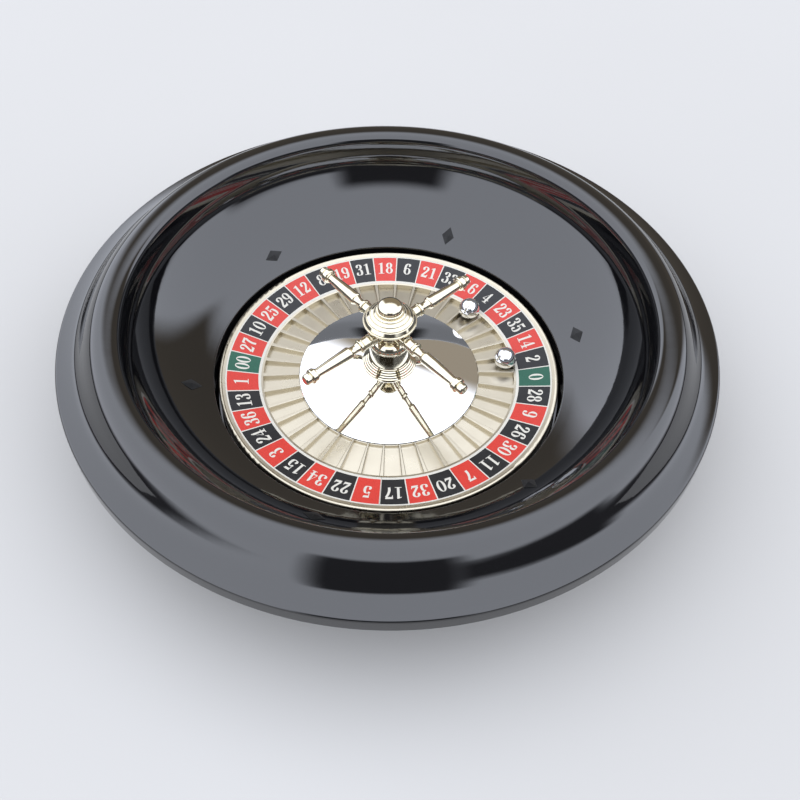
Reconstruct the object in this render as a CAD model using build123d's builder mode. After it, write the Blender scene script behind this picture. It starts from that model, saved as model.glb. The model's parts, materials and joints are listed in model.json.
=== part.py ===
from build123d import *
import math
import os

# Roulette wheel, 12 inch, drop-in bowl with a turning rotor.  Millimetres, +Z up.
# The origin is on the wheel's axis, in the plane of the feet.
# Every outline of a turned piece is drawn as (radius, height) and turned round the Z axis.

# ---- driving dimensions -------------------------------------------------------------
RIM_RADIUS = 152.4            # outer edge of the flange
FLANGE_Z = 48.0               # underside of the flange: the table top, when the wheel is dropped in
SHELL = 3.0                   # wall of the moulded bowl
SECTORS = 38                  # numbered pockets
SECTOR_ANGLE = 360 / SECTORS
FIRST_DIVIDER = 2.3           # azimuth of the divider beside the single zero, in degrees
RUNNING = 0.03                # radial play of a running fit
FIT = 0.05                    # play round screws, spigots and inlays

# Bowl
FLANGE_EDGE = 6.9             # height of the flange's upright edge
CREST = (129.5, FLANGE_Z + 21.7)
FLANGE_TOP = (150.8, FLANGE_Z + FLANGE_EDGE)
COVE_FOOT = (145.0, FLANGE_Z + 8.5)
LIP = (121.3, FLANGE_Z + 17.0)
TRACK_RADIUS = 121.0          # where the hollow apron meets the upright wall under the lip
RECESS_RADIUS = 85.6
RECESS_EASE = 0.8             # rounding of the edge round the rotor's recess
APRON_FOOT_Z = FLANGE_Z - 24.2
APRON_FOOT_SLOPE = math.radians(17)
APRON_TOP_SLOPE = math.radians(64)
FLOOR_Z = 10.5                # inside of the bowl's floor
SKIRT_Z = 4.5                 # lower edge of the bowl's skirt
BOSS_RADIUS = 11.0
BOSS_TOP = 13.9
NUT_POCKET_RADIUS = 8.0
NUT_POCKET_TOP = 11.5

# Diamonds on the apron
DIAMONDS = 6
DIAMOND_RADIUS = 95.8         # distance of their middles from the axis
DIAMOND_FIRST = 11.0          # azimuth of the first one
DIAMOND_LONG = 10.5
DIAMOND_WIDE = 6.6
DIAMOND_SUNK = 0.6
DIAMOND_RISE = 0.35           # keeps their tips above the hollow of the apron
DIAMOND_STEP = 0.25

# Base
COVER_RADIUS = 88.2
FOOT_HEIGHT = 2.0
FOOT_RADIUS = 8.0
FOOT_CIRCLE = 76.0
COVER_SCREW_CIRCLE = 70.0

# Spindle and bearing
JOURNAL = 4.0                 # bore of the bearing
SPINDLE_THREAD = 3.0
BEARING_BOTTOM = 15.7
BEARING_WIDTH = 7.0
BEARING_RADIUS = 11.0
BEARING_TOP = BEARING_BOTTOM + BEARING_WIDTH
BEARING_MIDDLE = BEARING_BOTTOM + BEARING_WIDTH / 2
RACE_INNER_RADIUS = 6.1
RACE_OUTER_RADIUS = 8.9
PITCH_RADIUS = 7.5
BEARING_BALL = 1.985
BEARING_BALLS = 7

# Rotor
ROTOR_RADIUS = 83.7
CONE_RADIUS = 44.6            # outer edge of the mirror cone
CONE_APEX = FLANGE_Z - 18.9   # where its slope would meet the axis
CONE_SLOPE = 0.2477
CONE_SHEET = 1.0
CONE_HOLE = 8.0
POCKET_OUTER = 62.3
POCKET_FLOOR_INNER = FLANGE_Z - 32.0
POCKET_FLOOR_OUTER = FLANGE_Z - 32.5
DIVIDER_TOP = FLANGE_Z - 30.1
DIVIDER_INNER_WIDTH = 0.9     # dividers widen outward
DIVIDER_OUTER_WIDTH = 2.1
STRIP_INNER = 63.3
STRIP_OUTER = 80.5
STRIP_THICK = 0.25
STRIP_SLOPE = 0.1883
LAND_TOP = FLANGE_Z - 30.1    # gold land between the pockets and the strips, at POCKET_OUTER
RIM_TOP = FLANGE_Z - 26.1
RIM_BEAD = 0.9                # radial width of the rim's raised edge
PAN_HOLE = 15.05
PAN_LAND = 19.6               # flat under the pan where the hub is screwed on
HUB_SCREWS = 3
HUB_SCREW_CIRCLE = 20.0

# Turret
SAUCER_RADIUS = 13.2
DRUM_RADIUS = 9.6             # straight middle of the bell
DRUM_TOP = FLANGE_Z - 8.0
DRUM_BEAD = 0.3               # how far the ring at the drum's top stands out
SHOULDER_TOP = FLANGE_Z - 2.6
SAUCER_HEIGHT = 4.5           # from the saucer's edge up to the foot of the drum
SAUCER_STEPS = 4
NECK_RADIUS = 5.7
STUD_RADIUS = 3.0
HUB_JOINT_Z = FLANGE_Z - 2.0  # where the turret's hub stands on its bell
CROWN_RADIUS = 12.8
CROWN_Z = FLANGE_Z + 6.9      # underside of the stepped crown
COLLAR_RADIUS = 6.4
COLLAR_Z = FLANGE_Z + 13.5    # where the knob's knurled collar stands on the crown
KNOB_TOP = FLANGE_Z + 19.0
HANDLE_Z = FLANGE_Z + 2.3
HANDLE_TIP = 50.8
HANDLE_FIRST = 41.7           # azimuth of the first handle; the others follow at right angles
HANDLE_ROOT = 9.55
GRIP_END = HANDLE_TIP - 7.2   # where the grip meets the end bead
SOCKET_RADIUS = 3.4

# Balls in play
BALL_RADIUS = 5.5
BALL_CIRCLE = 58.5
BALL_POCKETS = (0, 4)         # pockets of the two balls, counted anticlockwise from the single zero


def meridian(azimuth=0.0, height=0.0):
    """Upright plane through the axis: x runs outward at this azimuth, y runs up."""
    angle = math.radians(azimuth)
    return Plane(
        origin=(0, 0, height),
        x_dir=(math.cos(angle), math.sin(angle), 0),
        z_dir=(math.sin(angle), -math.cos(angle), 0),
    )


# The apron is hollow like a dish: an arc whose slope grows from its foot to the track.
APRON_ARC = (TRACK_RADIUS - RECESS_RADIUS) / (math.sin(APRON_TOP_SLOPE) - math.sin(APRON_FOOT_SLOPE))
APRON_CENTRE = (
    RECESS_RADIUS - APRON_ARC * math.sin(APRON_FOOT_SLOPE),
    APRON_FOOT_Z + APRON_ARC * math.cos(APRON_FOOT_SLOPE),
)


def apron_slope(radius, below=0.0):
    """Slope of the apron, or of the parallel surface some way below it, at this radius."""
    return math.asin((radius - APRON_CENTRE[0]) / (APRON_ARC + below))


def apron_point(radius, below=0.0):
    """Point of the apron, or of the parallel surface some way below it, at this radius."""
    return (radius, APRON_CENTRE[1] - (APRON_ARC + below) * math.cos(apron_slope(radius, below)))


def cone_top(radius):
    """Height of the mirror cone's upper face."""
    return CONE_APEX - CONE_SLOPE * radius


def strip_top(radius):
    """Height of the number strips' printed face."""
    return LAND_TOP + STRIP_SLOPE * (radius - POCKET_OUTER)


def pocket_azimuth(index):
    """Middle of a pocket, counted anticlockwise from the single zero."""
    return FIRST_DIVIDER + (index + 0.5) * SECTOR_ANGLE


def apron_plane(azimuth):
    """Plane lying on the apron at a diamond: x runs up the slope, z stands off the surface."""
    angle = math.radians(azimuth)
    slope = apron_slope(DIAMOND_RADIUS)
    outward = Vector(math.cos(angle), math.sin(angle), 0)
    return Plane(
        origin=outward * DIAMOND_RADIUS + Vector(0, 0, apron_point(DIAMOND_RADIUS)[1]),
        x_dir=outward * math.cos(slope) + Vector(0, 0, math.sin(slope)),
        z_dir=Vector(0, 0, math.cos(slope)) - outward * math.sin(slope),
    )


def rhombus(length, width):
    """Diamond outline, drawn in the open sketch."""
    Polygon((length / 2, 0), (0, width / 2), (-length / 2, 0), (0, -width / 2))


# ---- bowl ---------------------------------------------------------------------------
# Diamonds: every second one lies across the slope.
with BuildPart() as diamond_inlays:
    for number in range(DIAMONDS):
        seat = apron_plane(DIAMOND_FIRST + number * 360 / DIAMONDS)
        long_side, wide_side = (DIAMOND_LONG, DIAMOND_WIDE) if number % 2 else (DIAMOND_WIDE, DIAMOND_LONG)
        for level, share in enumerate((1.0, 0.78, 0.56, 0.34)):
            with BuildSketch(seat.offset(-DIAMOND_SUNK)):
                rhombus(long_side * share, wide_side * share)
            extrude(amount=DIAMOND_SUNK + DIAMOND_RISE + DIAMOND_STEP * level)
        with BuildSketch(seat):
            Circle(DIAMOND_STEP * 2)
        extrude(amount=DIAMOND_RISE + DIAMOND_STEP * 4)

with BuildPart() as bowl_shell:
    with BuildSketch(Plane.XZ):
        with BuildLine():
            Line((RIM_RADIUS, FLANGE_Z), (RIM_RADIUS, FLANGE_TOP[1] - 1.5))
            TangentArc((RIM_RADIUS, FLANGE_TOP[1] - 1.5), FLANGE_TOP, tangent=(0, 1))
            Line(FLANGE_TOP, COVE_FOOT)
            Bezier(COVE_FOOT, (139.0, FLANGE_Z + 10.4), (136.8, CREST[1]), CREST)
            Bezier(CREST, (123.6, CREST[1]), (121.6, CREST[1] - 0.6), LIP)
            Line(LIP, apron_point(TRACK_RADIUS))
            ThreePointArc(
                apron_point(TRACK_RADIUS),
                apron_point((TRACK_RADIUS + RECESS_RADIUS) / 2),
                apron_point(RECESS_RADIUS + RECESS_EASE),
            )
            Bezier(
                apron_point(RECESS_RADIUS + RECESS_EASE),
                (RECESS_RADIUS, APRON_FOOT_Z),
                (RECESS_RADIUS, APRON_FOOT_Z - RECESS_EASE),
            )
            FilletPolyline(
                (RECESS_RADIUS, APRON_FOOT_Z - RECESS_EASE),
                (RECESS_RADIUS, FLOOR_Z),
                (BOSS_RADIUS, FLOOR_Z),
                (BOSS_RADIUS, BOSS_TOP),
                (SPINDLE_THREAD + FIT, BOSS_TOP),
                radius=[1.0, 1.0, 0.6],
            )
            Polyline(
                (SPINDLE_THREAD + FIT, BOSS_TOP),
                (SPINDLE_THREAD + FIT, NUT_POCKET_TOP),
                (NUT_POCKET_RADIUS, NUT_POCKET_TOP),
                (NUT_POCKET_RADIUS, FLOOR_Z - SHELL),
                (RECESS_RADIUS, FLOOR_Z - SHELL),
                (RECESS_RADIUS, SKIRT_Z),
                (RECESS_RADIUS + SHELL, SKIRT_Z),
                apron_point(RECESS_RADIUS + SHELL, SHELL),
            )
            ThreePointArc(
                apron_point(RECESS_RADIUS + SHELL, SHELL),
                apron_point((TRACK_RADIUS + RECESS_RADIUS) / 2, SHELL),
                apron_point(TRACK_RADIUS + 0.8 * SHELL, SHELL),
            )
            Line(apron_point(TRACK_RADIUS + 0.8 * SHELL, SHELL), (LIP[0] + SHELL, LIP[1] - 1.0))
            Bezier(
                (LIP[0] + SHELL, LIP[1] - 1.0),
                (124.5, CREST[1] - SHELL),
                (126.0, CREST[1] - SHELL),
                (CREST[0], CREST[1] - SHELL),
            )
            Bezier(
                (CREST[0], CREST[1] - SHELL),
                (135.2, CREST[1] - SHELL),
                (137.0, FLANGE_Z + 7.4),
                (144.6, FLANGE_Z + 5.4),
            )
            Polyline(
                (144.6, FLANGE_Z + 5.4),
                (RIM_RADIUS - 4.0, FLANGE_Z + 4.4),
                (RIM_RADIUS - 4.0, FLANGE_Z),
                (RIM_RADIUS, FLANGE_Z),
            )
        make_face()
    revolve(axis=Axis.Z)
    # bosses under the floor for the cover's screws
    with BuildSketch(Plane.XY.offset(SKIRT_Z)):
        with PolarLocations(COVER_SCREW_CIRCLE, 4):
            Circle(3.5)
    extrude(amount=FLOOR_Z - SHELL - SKIRT_Z)
    with BuildSketch(Plane.XY.offset(SKIRT_Z)):
        with PolarLocations(COVER_SCREW_CIRCLE, 4):
            Circle(1.5 + FIT)
    extrude(amount=4.8, mode=Mode.SUBTRACT)
    # shallow beds for the diamonds
    for number in range(DIAMONDS):
        seat = apron_plane(DIAMOND_FIRST + number * 360 / DIAMONDS)
        long_side, wide_side = (DIAMOND_LONG, DIAMOND_WIDE) if number % 2 else (DIAMOND_WIDE, DIAMOND_LONG)
        with BuildSketch(seat.offset(-DIAMOND_SUNK - FIT)):
            rhombus(long_side + 4 * FIT, wide_side + 4 * FIT)
        extrude(amount=DIAMOND_SUNK * 3, mode=Mode.SUBTRACT)

with BuildPart() as base_cover:
    with BuildSketch(Plane.XY.offset(FOOT_HEIGHT)):
        Circle(COVER_RADIUS)
    extrude(amount=SKIRT_Z - FOOT_HEIGHT)
    chamfer(base_cover.edges().group_by(Axis.Z)[0], length=0.6)
    with Locations(Location((0, 0, FOOT_HEIGHT), (180, 0, 0))):
        with PolarLocations(COVER_SCREW_CIRCLE, 4):
            CounterSinkHole(radius=1.5 + FIT, counter_sink_radius=3.0, depth=SKIRT_Z - FOOT_HEIGHT)

with BuildPart() as cover_screw:
    with BuildSketch(meridian()):
        with BuildLine():
            Polyline(
                (0, FOOT_HEIGHT + 0.1),
                (2.8, FOOT_HEIGHT + 0.1),
                (1.5, FOOT_HEIGHT + 1.4),
                (1.5, SKIRT_Z + 4.4),
                (0, SKIRT_Z + 4.4),
                close=True,
            )
        make_face()
    revolve(axis=Axis.Z)
    with BuildSketch(Plane.XY.offset(FOOT_HEIGHT)):
        Rectangle(2.8, 0.6)
        Rectangle(0.6, 2.8)
    extrude(amount=0.9, mode=Mode.SUBTRACT)

with BuildPart() as base_cover_screws:
    with PolarLocations(COVER_SCREW_CIRCLE, 4):
        add(cover_screw.part)

with BuildPart() as foot_pads:
    with BuildSketch(Plane.XY):
        with PolarLocations(FOOT_CIRCLE, 4, start_angle=45):
            Circle(FOOT_RADIUS)
    extrude(amount=FOOT_HEIGHT)
    fillet(foot_pads.edges().group_by(Axis.Z)[0], radius=0.6)

# ---- spindle and bearing ------------------------------------------------------------
CLIP_Z = BEARING_TOP + 0.1
CLIP_THICK = 0.8

with BuildPart() as spindle:
    with BuildSketch(Plane.XZ):
        with BuildLine():
            Polyline(
                (0, SKIRT_Z + 0.6),
                (SPINDLE_THREAD - 0.4, SKIRT_Z + 0.6),
                (SPINDLE_THREAD, SKIRT_Z + 1.0),
                (SPINDLE_THREAD, BOSS_TOP),
                (RACE_INNER_RADIUS - 0.1, BOSS_TOP),
                (RACE_INNER_RADIUS - 0.1, BEARING_BOTTOM),
                (JOURNAL - RUNNING, BEARING_BOTTOM),
                (JOURNAL - RUNNING, CLIP_Z - 0.05),
                (JOURNAL - 0.8, CLIP_Z - 0.05),
                (JOURNAL - 0.8, CLIP_Z + CLIP_THICK + 0.05),
                (JOURNAL - RUNNING, CLIP_Z + CLIP_THICK + 0.05),
                (JOURNAL - 0.5, CLIP_Z + 1.9),
                (0, CLIP_Z + 1.9),
                close=True,
            )
        make_face()
    revolve(axis=Axis.Z)

with BuildPart() as spindle_washer:
    with BuildSketch(Plane.XY.offset(NUT_POCKET_TOP - 1.2)):
        Circle(6.0)
        Circle(SPINDLE_THREAD + FIT, mode=Mode.SUBTRACT)
    extrude(amount=1.2)

with BuildPart() as spindle_nut:
    with BuildSketch(Plane.XY.offset(NUT_POCKET_TOP - 6.2)):
        RegularPolygon(radius=5.0, side_count=6, major_radius=False)
        Circle(SPINDLE_THREAD + FIT, mode=Mode.SUBTRACT)
    extrude(amount=5.0)

with BuildPart() as spindle_clip:
    with BuildSketch(Plane.XY.offset(CLIP_Z)):
        Circle(6.2)
        Circle(JOURNAL - 0.75, mode=Mode.SUBTRACT)
        with Locations((5.0, 0)):
            Rectangle(10.0, 4.6, mode=Mode.SUBTRACT)
    extrude(amount=CLIP_THICK)

GROOVE = BEARING_BALL + FIT + 0.015

with BuildPart() as bearing_inner_race:
    with BuildSketch(Plane.XZ):
        with Locations(((JOURNAL + RACE_INNER_RADIUS) / 2, BEARING_MIDDLE)):
            Rectangle(RACE_INNER_RADIUS - JOURNAL, BEARING_WIDTH)
        with Locations((PITCH_RADIUS, BEARING_MIDDLE)):
            Circle(GROOVE, mode=Mode.SUBTRACT)
    revolve(axis=Axis.Z)

with BuildPart() as bearing_outer_race:
    with BuildSketch(Plane.XZ):
        with Locations(((RACE_OUTER_RADIUS + BEARING_RADIUS) / 2, BEARING_MIDDLE)):
            Rectangle(BEARING_RADIUS - RACE_OUTER_RADIUS, BEARING_WIDTH)
        with Locations((PITCH_RADIUS, BEARING_MIDDLE)):
            Circle(GROOVE, mode=Mode.SUBTRACT)
    revolve(axis=Axis.Z)

with BuildPart() as bearing_balls:
    with Locations((0, 0, BEARING_MIDDLE)):
        with PolarLocations(PITCH_RADIUS, BEARING_BALLS):
            Sphere(BEARING_BALL)

with BuildPart() as bearing_cage:
    with BuildSketch(Plane.XY.offset(BEARING_MIDDLE - 2.7)):
        Circle(PITCH_RADIUS + 0.7)
        Circle(PITCH_RADIUS - 0.7, mode=Mode.SUBTRACT)
    extrude(amount=5.4)
    with Locations((0, 0, BEARING_MIDDLE)):
        with PolarLocations(PITCH_RADIUS, BEARING_BALLS):
            Cylinder(BEARING_BALL + 0.1, 3.0, rotation=(0, 90, 0), mode=Mode.SUBTRACT)

# ---- rotor --------------------------------------------------------------------------
HUB_BOTTOM = 14.4
HUB_FLANGE = 24.0
SNAP_RING_Z = 14.8
SNAP_RING_THICK = 0.8
SPIGOT_RADIUS = CONE_HOLE - 0.2
SPIGOT_TOP = FLANGE_Z - 17.0
STUD_SEAT = FLANGE_Z - 21.4

with BuildPart() as rotor_hub:
    with BuildSketch(Plane.XZ):
        with BuildLine():
            Polyline(
                (BEARING_RADIUS + RUNNING, HUB_BOTTOM),
                (PAN_HOLE - 0.25, HUB_BOTTOM),
                (PAN_HOLE - 0.25, PAN_LAND - 2.8),
                (HUB_FLANGE, PAN_LAND - 2.8),
                (HUB_FLANGE, PAN_LAND),
                (PAN_HOLE - FIT, PAN_LAND),
                (PAN_HOLE - FIT, cone_top(PAN_HOLE) - CONE_SHEET - 0.3),
                (SPIGOT_RADIUS, cone_top(SPIGOT_RADIUS) - CONE_SHEET - 0.3),
                (SPIGOT_RADIUS, SPIGOT_TOP),
                (STUD_RADIUS + FIT, SPIGOT_TOP),
                (STUD_RADIUS + FIT, STUD_SEAT),
                (0, STUD_SEAT),
                (0, STUD_SEAT - 1.4),
                (6.7, STUD_SEAT - 1.4),
                (9.4, STUD_SEAT - 2.6),
                (9.4, BEARING_TOP + FIT),
                (BEARING_RADIUS + RUNNING, BEARING_TOP + FIT),
                (BEARING_RADIUS + RUNNING, SNAP_RING_Z + SNAP_RING_THICK + FIT),
                (12.0, SNAP_RING_Z + SNAP_RING_THICK + FIT),
                (12.0, SNAP_RING_Z - FIT),
                (BEARING_RADIUS + RUNNING, SNAP_RING_Z - FIT),
                close=True,
            )
        make_face()
    revolve(axis=Axis.Z)
    with BuildSketch(Plane.XY.offset(PAN_LAND - 2.8)):
        with PolarLocations(HUB_SCREW_CIRCLE, HUB_SCREWS, start_angle=30):
            Circle(1.5 + FIT)
    extrude(amount=2.8, mode=Mode.SUBTRACT)

with BuildPart() as hub_snap_ring:
    with BuildSketch(Plane.XY.offset(SNAP_RING_Z)):
        Circle(11.8)
        Circle(9.3, mode=Mode.SUBTRACT)
        with Locations((0, 10.5)):
            Rectangle(4.0, 5.0, mode=Mode.SUBTRACT)
    extrude(amount=SNAP_RING_THICK)

with BuildPart() as hub_screws:
    with BuildSketch(Plane.XY.offset(PAN_LAND - 4.6)):
        with PolarLocations(HUB_SCREW_CIRCLE, HUB_SCREWS, start_angle=30):
            Circle(2.8)
    extrude(amount=1.8)
    with BuildSketch(Plane.XY.offset(PAN_LAND - 4.6)):
        with PolarLocations(HUB_SCREW_CIRCLE, HUB_SCREWS, start_angle=30):
            Rectangle(3.2, 0.7)
            Rectangle(0.7, 3.2)
    extrude(amount=0.9, mode=Mode.SUBTRACT)
    with BuildSketch(Plane.XY.offset(PAN_LAND - 2.8)):
        with PolarLocations(HUB_SCREW_CIRCLE, HUB_SCREWS, start_angle=30):
            Circle(1.5)
    extrude(amount=4.8)

# One divider between two pockets, drawn along +X: it widens outward, and its top edges are eased.
with BuildPart() as divider:
    with BuildSketch(Plane.XY.offset(POCKET_FLOOR_OUTER - 0.6)):
        Polygon(
            (CONE_RADIUS + 0.1, -DIVIDER_INNER_WIDTH / 2),
            (POCKET_OUTER + 0.1, -DIVIDER_OUTER_WIDTH / 2),
            (POCKET_OUTER + 0.1, DIVIDER_OUTER_WIDTH / 2),
            (CONE_RADIUS + 0.1, DIVIDER_INNER_WIDTH / 2),
            align=None,
        )
    extrude(amount=DIVIDER_TOP - POCKET_FLOOR_OUTER + 0.6)
    top_edges = divider.edges().group_by(Axis.Z)[-1]
    chamfer(top_edges.filter_by(lambda edge: edge.length > POCKET_OUTER - CONE_RADIUS - 1), length=0.25)

with BuildPart() as rotor_pan:
    with BuildSketch(Plane.XZ):
        seat_inner = cone_top(PAN_HOLE) - CONE_SHEET - 0.03
        seat_outer = cone_top(CONE_RADIUS) - CONE_SHEET - 0.03
        ledge_inner = strip_top(STRIP_INNER - 0.05) - STRIP_THICK - 0.02
        ledge_outer = strip_top(STRIP_OUTER + 0.05) - STRIP_THICK - 0.02
        with BuildLine():
            Polyline(
                (PAN_HOLE, PAN_LAND),
                (PAN_HOLE, seat_inner),
                (CONE_RADIUS + 0.05, seat_outer),
                (CONE_RADIUS + 0.05, POCKET_FLOOR_INNER),
                (POCKET_OUTER, POCKET_FLOOR_OUTER),
                (POCKET_OUTER, LAND_TOP),
                (STRIP_INNER - 0.05, strip_top(STRIP_INNER - 0.05)),
                (STRIP_INNER - 0.05, ledge_inner),
                (STRIP_OUTER + 0.05, ledge_outer),
            )
            Polyline(
                (STRIP_OUTER + 0.05, ledge_outer),
                (STRIP_OUTER + 0.05, strip_top(STRIP_OUTER)),
                (ROTOR_RADIUS - 2 * RIM_BEAD, strip_top(ROTOR_RADIUS - 2 * RIM_BEAD)),
            )
            ThreePointArc(
                (ROTOR_RADIUS - 2 * RIM_BEAD, strip_top(ROTOR_RADIUS - 2 * RIM_BEAD)),
                (ROTOR_RADIUS - RIM_BEAD, RIM_TOP),
                (ROTOR_RADIUS, RIM_TOP - 0.9),
            )
            Polyline(
                (ROTOR_RADIUS, RIM_TOP - 0.9),
                (ROTOR_RADIUS, FLOOR_Z + 3.0),
                (ROTOR_RADIUS - 1.8, FLOOR_Z + 3.0),
                (ROTOR_RADIUS - 1.8, ledge_outer - 1.9),
                (POCKET_OUTER + 1.8, ledge_inner - 1.6),
                (POCKET_OUTER + 1.8, POCKET_FLOOR_OUTER - 1.8),
                (CONE_RADIUS - 0.6, POCKET_FLOOR_INNER - 1.9),
                (26.0, PAN_LAND),
                (PAN_HOLE, PAN_LAND),
            )
        make_face()
    revolve(axis=Axis.Z)
    with PolarLocations(0, SECTORS, start_angle=FIRST_DIVIDER):
        add(divider.part)
    with BuildSketch(Plane.XY.offset(PAN_LAND)):
        with PolarLocations(HUB_SCREW_CIRCLE, HUB_SCREWS, start_angle=30):
            Circle(1.5 + FIT)
    extrude(amount=2.2, mode=Mode.SUBTRACT)

with BuildPart() as mirror_cone:
    with BuildSketch(Plane.XZ):
        with BuildLine():
            Polyline(
                (CONE_HOLE, cone_top(CONE_HOLE) - CONE_SHEET),
                (CONE_RADIUS, cone_top(CONE_RADIUS) - CONE_SHEET),
                (CONE_RADIUS, cone_top(CONE_RADIUS) - 0.25),
                (CONE_RADIUS - 0.3, cone_top(CONE_RADIUS - 0.3)),
                (CONE_HOLE, cone_top(CONE_HOLE)),
                close=True,
            )
        make_face()
    revolve(axis=Axis.Z)


def number_strip(start_azimuth):
    """Half of the printed ring, laid on the pan's sloping ledge."""
    with BuildPart() as strip:
        with BuildSketch(meridian(start_azimuth + 0.05)):
            with BuildLine():
                Polyline(
                    (STRIP_INNER, strip_top(STRIP_INNER) - STRIP_THICK),
                    (STRIP_OUTER, strip_top(STRIP_OUTER) - STRIP_THICK),
                    (STRIP_OUTER, strip_top(STRIP_OUTER)),
                    (STRIP_INNER, strip_top(STRIP_INNER)),
                    close=True,
                )
            make_face()
        revolve(axis=Axis.Z, revolution_arc=179.9)
    return strip


# The two seams lie on opposite dividers, beside the front and the back pocket.
seam = FIRST_DIVIDER - 10 * SECTOR_ANGLE
number_strip_right = number_strip(seam)
number_strip_left = number_strip(seam + 180)

# ---- turret -------------------------------------------------------------------------
with BuildPart() as turret_bell:
    with BuildSketch(Plane.XZ):
        saucer_z = cone_top(SAUCER_RADIUS) + 0.06
        drum_foot = saucer_z + SAUCER_HEIGHT
        step_out = (SAUCER_RADIUS - DRUM_RADIUS - 0.3) / SAUCER_STEPS
        step_up = (drum_foot - saucer_z - 1.1) / SAUCER_STEPS
        steps = []
        for step in range(SAUCER_STEPS):
            radius = SAUCER_RADIUS - step * step_out
            height = saucer_z + 1.1 + step * step_up
            steps += [(radius - 0.1, height), (radius - step_out + 0.15, height + 0.35 * step_up)]
        with BuildLine():
            Polyline(
                (STUD_RADIUS + 0.1, HUB_JOINT_Z),
                (STUD_RADIUS + 0.1, SPIGOT_TOP + 0.1),
                (SPIGOT_RADIUS + 0.1, SPIGOT_TOP + 0.1),
                (SPIGOT_RADIUS + 0.1, cone_top(SPIGOT_RADIUS) + 0.06),
                (SAUCER_RADIUS, saucer_z),
                (SAUCER_RADIUS, saucer_z + 0.8),
                *steps,
                (DRUM_RADIUS + 0.3, drum_foot),
                (DRUM_RADIUS, drum_foot + 0.3),
                (DRUM_RADIUS, DRUM_TOP),
            )
            ThreePointArc(
                (DRUM_RADIUS, DRUM_TOP),
                (DRUM_RADIUS + DRUM_BEAD, DRUM_TOP + 0.5),
                (DRUM_RADIUS, DRUM_TOP + 1.0),
            )
            Bezier(
                (DRUM_RADIUS, DRUM_TOP + 1.0),
                (DRUM_RADIUS - 0.2, DRUM_TOP + 3.2),
                (NECK_RADIUS + 2.0, SHOULDER_TOP - 0.4),
                (NECK_RADIUS, SHOULDER_TOP),
            )
            FilletPolyline(
                (NECK_RADIUS, SHOULDER_TOP),
                (NECK_RADIUS, HUB_JOINT_Z),
                (STUD_RADIUS + 0.1, HUB_JOINT_Z),
                radius=0.15,
            )
        make_face()
    revolve(axis=Axis.Z)

with BuildPart() as turret_crown:
    with BuildSketch(Plane.XZ):
        with BuildLine():
            FilletPolyline(
                (STUD_RADIUS + 0.1, HUB_JOINT_Z),
                (NECK_RADIUS, HUB_JOINT_Z),
                (NECK_RADIUS, CROWN_Z),
                (CROWN_RADIUS, CROWN_Z),
                (CROWN_RADIUS, CROWN_Z + 1.2),
                (CROWN_RADIUS - 0.6, CROWN_Z + 1.2),
                (CROWN_RADIUS - 0.7, CROWN_Z + 1.6),
                (11.2, CROWN_Z + 3.0),
                (10.8, CROWN_Z + 3.0),
                (10.7, CROWN_Z + 3.4),
                (9.6, CROWN_Z + 4.4),
                (9.2, CROWN_Z + 4.4),
                (9.1, CROWN_Z + 4.8),
                (7.9, CROWN_Z + 5.6),
                (7.5, CROWN_Z + 5.6),
                (7.4, CROWN_Z + 6.0),
                (6.8, COLLAR_Z),
                (STUD_RADIUS + 0.1, COLLAR_Z),
                radius=[0.3, 0.4, 0.5, 0.3, 0.1, 0.15, 0.3, 0.1, 0.15, 0.3, 0.1, 0.15, 0.3, 0.1, 0.15, 0.2],
            )
            Line((STUD_RADIUS + 0.1, COLLAR_Z), (STUD_RADIUS + 0.1, HUB_JOINT_Z))
        make_face()
    revolve(axis=Axis.Z)
    # four short sockets that the handles screw into
    for quarter in range(4):
        socket = meridian(HANDLE_FIRST + 90 * quarter, HANDLE_Z)
        radial = Plane(origin=socket.origin, x_dir=socket.z_dir, z_dir=socket.x_dir)
        with BuildSketch(radial.offset(4.0)):
            Circle(SOCKET_RADIUS)
        extrude(amount=HANDLE_ROOT - FIT - 4.0)
        with BuildSketch(radial.offset(4.6)):
            Circle(1.5 + FIT)
        extrude(amount=HANDLE_ROOT - 4.6, mode=Mode.SUBTRACT)

with BuildPart() as finial_knob:
    with BuildSketch(Plane.XZ):
        with BuildLine():
            Polyline(
                (0, KNOB_TOP),
                (0, KNOB_TOP - 2.5),
                (STUD_RADIUS + FIT, KNOB_TOP - 2.5),
                (STUD_RADIUS + FIT, COLLAR_Z + FIT),
                (COLLAR_RADIUS, COLLAR_Z + FIT),
                (COLLAR_RADIUS, COLLAR_Z + 1.2),
                (5.9, COLLAR_Z + 1.5),
                (5.9, COLLAR_Z + 2.6),
            )
            Bezier(
                (5.9, COLLAR_Z + 2.6),
                (5.9, COLLAR_Z + 4.3),
                (3.6, KNOB_TOP),
                (0, KNOB_TOP),
            )
        make_face()
    revolve(axis=Axis.Z)
    # knurl on the collar
    with BuildSketch(Plane.XY.offset(COLLAR_Z)):
        with PolarLocations(COLLAR_RADIUS, 30):
            Circle(0.25)
    extrude(amount=1.3, mode=Mode.SUBTRACT)

with BuildPart() as turret_stud:
    with BuildSketch(Plane.XY.offset(STUD_SEAT + FIT)):
        Circle(STUD_RADIUS)
    extrude(amount=KNOB_TOP - 2.7 - STUD_SEAT)


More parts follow.
